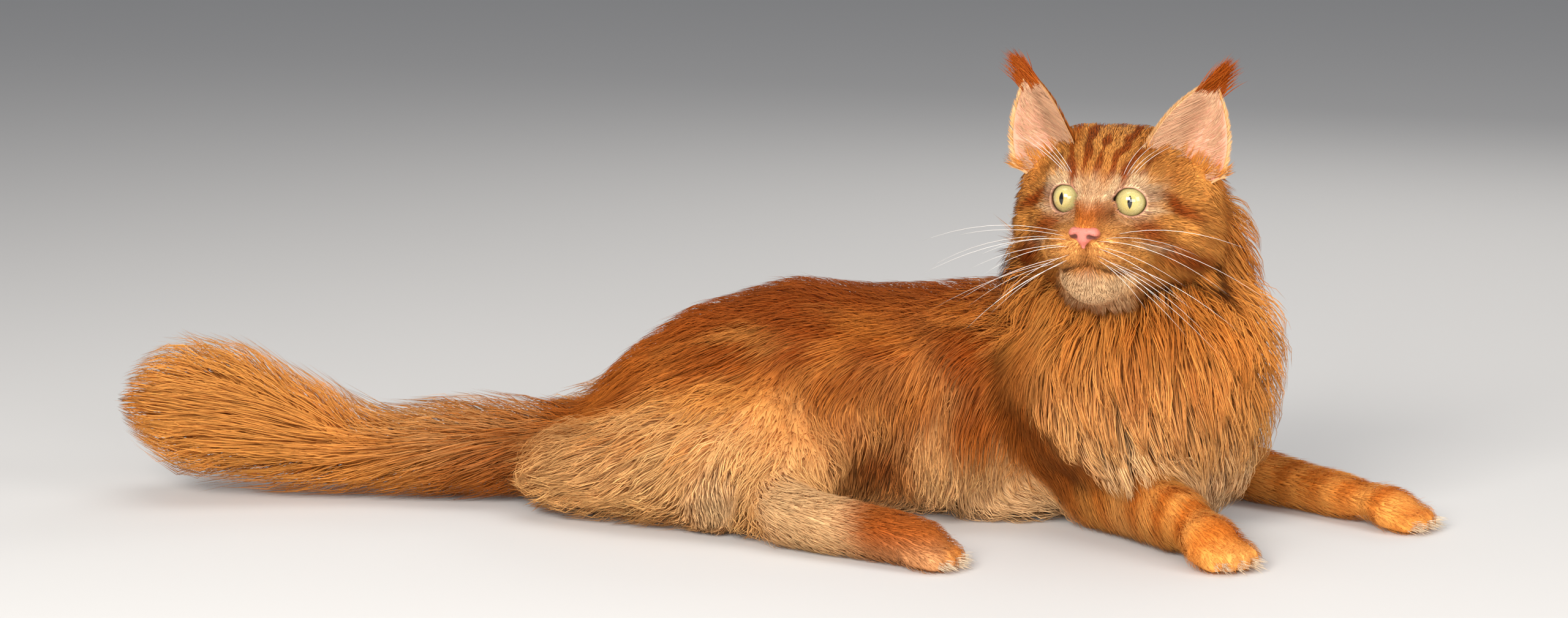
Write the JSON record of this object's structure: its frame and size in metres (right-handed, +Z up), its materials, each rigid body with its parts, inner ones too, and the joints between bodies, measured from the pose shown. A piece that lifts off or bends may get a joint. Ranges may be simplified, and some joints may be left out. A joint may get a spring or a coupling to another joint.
{
  "type": "cat",
  "caption": "Long-haired red tabby cat lying at rest with its head raised and turned, forelegs reaching forward and plumed tail laid out behind, as a life-size display model.",
  "frame": {"origin": "on the floor under the middle of the whole animal's box", "axes": "+Z up from the floor; +X from the tail's tip towards the forepaws, along the longest extent; -Y towards the animal's right side, the side its face is turned to"},
  "size_m": [0.9034, 0.3256, 0.3197],
  "materials": {
    "coat_red": "deep red-orange hair, satin",
    "coat_orange": "orange hair, satin",
    "coat_gold": "golden orange long hair, soft",
    "coat_cream": "pale cream-gold long hair, soft",
    "coat_face": "short orange face hair with darker stripes",
    "coat_pale": "short pale cream hair",
    "ear_skin": "thin pink skin with sparse pale hair",
    "nose_leather": "moist pink skin, satin",
    "eye": "wet, glossy, pale green-gold iris with a slit pupil"
  },
  "bodies": {
    "root": {"eye_right": "eye", "eye_left": "eye", "nose": "nose_leather", "ear_tuft_right": "coat_red", "ear_tuft_left": "coat_red", "ear_right": "ear_skin", "ear_left": "ear_skin", "muzzle": "coat_pale", "chin": "coat_pale", "head": "coat_face", "ruff": "coat_gold", "neck": "coat_gold", "forepaw_right": "coat_orange", "forepaw_left": "coat_orange", "foreleg_right": "coat_orange", "foreleg_left": "coat_orange", "hind_foot_right": "coat_cream", "hind_foot_left": "coat_cream", "breeches_right": "coat_cream", "thigh_right": "coat_cream", "thigh_left": "coat_cream", "belly_fringe_right": "coat_cream", "shoulder_right": "coat_red", "shoulder_left": "coat_red", "rump": "coat_red", "abdomen": "coat_orange", "thorax": "coat_orange", "tail_tip": "coat_gold", "tail_brush": "coat_gold", "tail_middle": "coat_gold", "tail_root": "coat_red"}
  },
  "joints": []
}
